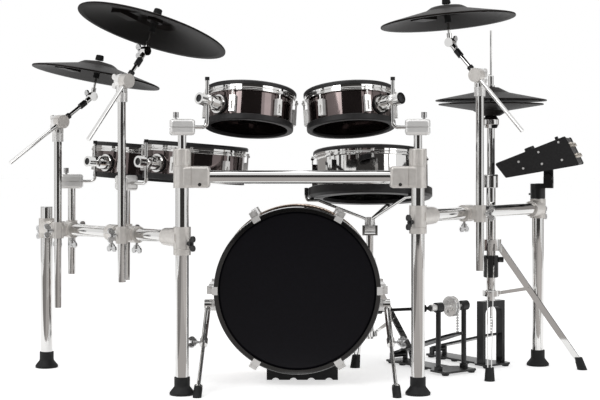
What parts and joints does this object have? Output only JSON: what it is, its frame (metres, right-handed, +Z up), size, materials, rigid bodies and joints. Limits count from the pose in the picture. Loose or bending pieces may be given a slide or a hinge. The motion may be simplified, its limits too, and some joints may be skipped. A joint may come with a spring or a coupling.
{
  "type": "electronic drum kit",
  "caption": "Electronic drum kit on a chrome tube rack: mesh tom, snare and bass pads, rubber cymbal pads on booms, hi-hat, double pedal and a sound module.",
  "frame": {"origin": "centre of the bounding box at floor level", "axes": "+X to the audience's right, +Y from the audience to the player, +Z up"},
  "size_m": [1.8222, 0.9122, 1.1537],
  "materials": {
    "chrome": "bright plated",
    "clamp_metal": "satin die-cast",
    "rubber": "matt",
    "dark_shell": "gloss black wrap",
    "head_film": "satin film",
    "pedal_metal": "black and bare",
    "module_plastic": "textured"
  },
  "bodies": {
    "rack": {"front_tubes": "chrome", "rubber_feet": "rubber", "front_clamps": "clamp_metal", "front_tom_holders": "chrome", "bass_shell": "dark_shell", "bass_hoops": "dark_shell", "bass_heads": "head_film", "bass_hardware": "chrome", "snare_stand": "chrome", "hihat_stand": "chrome", "hihat_bottom": "rubber", "hihat_pedal_frame": "pedal_metal", "pedal_frames": "pedal_metal"},
    "left_wing": {"left_wing_tubes": "chrome", "left_rear_foot": "rubber", "left_clamps": "clamp_metal", "ride_stand": "chrome", "crash_left_stand": "chrome", "side_tom_holders": "chrome"},
    "right_wing": {"right_wing_tubes": "chrome", "right_rear_foot": "rubber", "right_clamps": "clamp_metal", "crash_right_stand": "chrome", "module_mount": "module_plastic"},
    "snare": {"snare_basket": "chrome", "snare_shell": "chrome", "snare_hardware": "chrome", "snare_pad": "rubber"},
    "hihat_rod": {"hihat_rod": "chrome", "hihat_top": "rubber"},
    "module": {"module_case": "module_plastic"},
    "tom1": {"tom1_shell": "dark_shell", "tom1_hardware": "chrome", "tom1_pad": "rubber"},
    "tom2": {"tom2_shell": "dark_shell", "tom2_hardware": "chrome", "tom2_pad": "rubber"},
    "tom3": {"tom3_shell": "dark_shell", "tom3_hardware": "chrome", "tom3_pad": "rubber"},
    "tom4": {"tom4_shell": "dark_shell", "tom4_hardware": "chrome", "tom4_pad": "rubber"},
    "ride_boom": {"ride_boom": "chrome"},
    "ride_cymbal": {"ride_cymbal": "rubber"},
    "crash_left_boom": {"crash_left_boom": "chrome"},
    "crash_left_cymbal": {"crash_left_cymbal": "rubber"},
    "crash_right_boom": {"crash_right_boom": "chrome"},
    "crash_right_cymbal": {"crash_right_cymbal": "rubber"},
    "left_spur": {"left_spur": "chrome"},
    "right_spur": {"right_spur": "chrome"},
    "main_footboard": {"main_footboard": "pedal_metal"},
    "slave_footboard": {"slave_footboard": "pedal_metal"},
    "main_beater": {"main_beater": "pedal_metal"},
    "left_beater": {"left_beater": "pedal_metal"},
    "slave_cam": {"slave_cam": "pedal_metal"},
    "drive_shaft": {"drive_shaft": "pedal_metal"},
    "hihat_footboard": {"hihat_footboard": "pedal_metal"},
    "module_dial": {"module_dial": "module_plastic"},
    "module_knob": {"module_knob": "module_plastic"}
  },
  "joints": [
    {"name": "left_wing_swing", "type": "hinge", "parent": "rack", "child": "left_wing", "pos_m": [-0.36619, -0.39556, 0.447], "axis": [0, 0, 1], "range_deg": [-2, 12]},
    {"name": "right_wing_swing", "type": "hinge", "parent": "rack", "child": "right_wing", "pos_m": [0.30581, -0.39556, 0.508], "axis": [0, 0, 1], "range_deg": [-1, 1]},
    {"name": "ride_boom_tilt", "type": "hinge", "parent": "left_wing", "child": "ride_boom", "pos_m": [-0.55482, -0.26285, 0.9], "axis": [0.7449, -0.6672, 0], "range_deg": [-12, 12]},
    {"name": "ride_rock", "type": "hinge", "parent": "ride_boom", "child": "ride_cymbal", "pos_m": [-0.4631, -0.20352, 1.08298], "axis": [0.9624, -0.0472, -0.2676], "range_deg": [-10, 10], "stiffness_Nm_per_rad": 6},
    {"name": "crash_left_boom_tilt", "type": "hinge", "parent": "left_wing", "child": "crash_left_boom", "pos_m": [-0.78485, -0.01932, 0.785], "axis": [0.6683, -0.7439, 0], "range_deg": [-12, 12]},
    {"name": "crash_left_rock", "type": "hinge", "parent": "crash_left_boom", "child": "crash_left_cymbal", "pos_m": [-0.66955, 0.04821, 0.96037], "axis": [0.9849, -0.0106, -0.173], "range_deg": [-10, 10], "stiffness_Nm_per_rad": 6},
    {"name": "crash_right_boom_tilt", "type": "hinge", "parent": "right_wing", "child": "crash_right_boom", "pos_m": [0.505, -0.21926, 0.919], "axis": [-0.5916, -0.8063, 0], "range_deg": [-12, 12]},
    {"name": "crash_right_rock", "type": "hinge", "parent": "crash_right_boom", "child": "crash_right_cymbal", "pos_m": [0.41145, -0.17789, 1.11556], "axis": [0.9962, 0.0033, 0.087], "range_deg": [-10, 10], "stiffness_Nm_per_rad": 6},
    {"name": "tom1_tilt", "type": "hinge", "parent": "rack", "child": "tom1", "pos_m": [-0.2953, -0.3832, 0.83812], "axis": [1, 0, 0], "range_deg": [-1, 9]},
    {"name": "tom2_tilt", "type": "hinge", "parent": "rack", "child": "tom2", "pos_m": [0.23492, -0.3832, 0.83812], "axis": [1, 0, 0], "range_deg": [-6, 9]},
    {"name": "tom3_tilt", "type": "hinge", "parent": "left_wing", "child": "tom3", "pos_m": [-0.685, 0.09343, 0.65893], "axis": [0, 1, 0], "range_deg": [-5, 10]},
    {"name": "tom4_tilt", "type": "hinge", "parent": "left_wing", "child": "tom4", "pos_m": [-0.488, -0.21657, 0.66093], "axis": [0, 1, 0], "range_deg": [-1, 10]},
    {"name": "snare_tilt", "type": "hinge", "parent": "rack", "child": "snare", "pos_m": [0.20081, 0.24444, 0.44], "axis": [1, 0, 0], "range_deg": [-8, 8]},
    {"name": "main_pedal", "type": "hinge", "parent": "rack", "child": "main_footboard", "pos_m": [-0.03819, 0.37944, 0.028], "axis": [1, 0, 0], "range_deg": [0, 4.37], "stiffness_Nm_per_rad": 60, "springref_deg": -6.88},
    {"name": "main_beater_swing", "type": "hinge", "parent": "rack", "child": "main_beater", "pos_m": [-0.03819, 0.12944, 0.172], "axis": [1, 0, 0], "range_deg": [0, 42]},
    {"name": "slave_pedal", "type": "hinge", "parent": "rack", "child": "slave_footboard", "pos_m": [0.29281, 0.19644, 0.028], "axis": [0.8, 0.6, 0], "range_deg": [0, 4.37], "stiffness_Nm_per_rad": 60, "springref_deg": -6.88},
    {"name": "slave_cam_turn", "type": "hinge", "parent": "rack", "child": "slave_cam", "pos_m": [0.44281, -0.00356, 0.208], "axis": [0.8, 0.6, 0], "range_deg": [0, 42]},
    {"name": "drive_shaft_turn", "type": "hinge", "parent": "rack", "child": "drive_shaft", "pos_m": [0.05211, 0.12944, 0.172], "axis": [0.858, -0.5043, 0.097], "range_deg": [0, 42]},
    {"name": "left_beater_swing", "type": "hinge", "parent": "rack", "child": "left_beater", "pos_m": [-0.03819, 0.12944, 0.172], "axis": [1, 0, 0], "range_deg": [0, 42]},
    {"name": "hihat_pedal", "type": "hinge", "parent": "rack", "child": "hihat_footboard", "pos_m": [0.43481, 0.32644, 0.028], "axis": [0.8, 0.6, 0], "range_deg": [0, 1.74], "stiffness_Nm_per_rad": 80, "springref_deg": -6.88},
    {"name": "hihat_lift", "type": "slide", "parent": "rack", "child": "hihat_rod", "axis": [0, 0, 1], "range_m": [-0.0076, 0]},
    {"name": "left_spur_fold", "type": "hinge", "parent": "rack", "child": "left_spur", "pos_m": [-0.30799, -0.14556, 0.228], "axis": [1, 0, 0], "range_deg": [0, 110]},
    {"name": "right_spur_fold", "type": "hinge", "parent": "rack", "child": "right_spur", "pos_m": [0.23161, -0.14556, 0.228], "axis": [1, 0, 0], "range_deg": [0, 110]},
    {"name": "module_tilt", "type": "hinge", "parent": "right_wing", "child": "module", "pos_m": [0.7719, 0.13456, 0.608], "axis": [0.2419, 0.9703, 0], "range_deg": [-12, 12]},
    {"name": "module_dial_turn", "type": "hinge", "parent": "module", "child": "module_dial", "pos_m": [0.7026, 0.0698, 0.69376], "axis": [-0.3572, 0.0891, 0.9298], "continuous": true},
    {"name": "module_knob_turn", "type": "hinge", "parent": "module", "child": "module_knob", "pos_m": [0.77617, 0.00364, 0.72836], "axis": [-0.3572, 0.0891, 0.9298], "range_deg": [-140, 140]}
  ],
  "couplings": [
    {"joint": "main_beater_swing", "follows": "main_pedal", "ratio": 9.6207},
    {"joint": "slave_cam_turn", "follows": "slave_pedal", "ratio": 9.6207},
    {"joint": "drive_shaft_turn", "follows": "slave_pedal", "ratio": 9.6207},
    {"joint": "left_beater_swing", "follows": "slave_pedal", "ratio": 9.6207},
    {"joint": "hihat_lift", "follows": "hihat_pedal", "m_per_rad": -0.25}
  ]
}
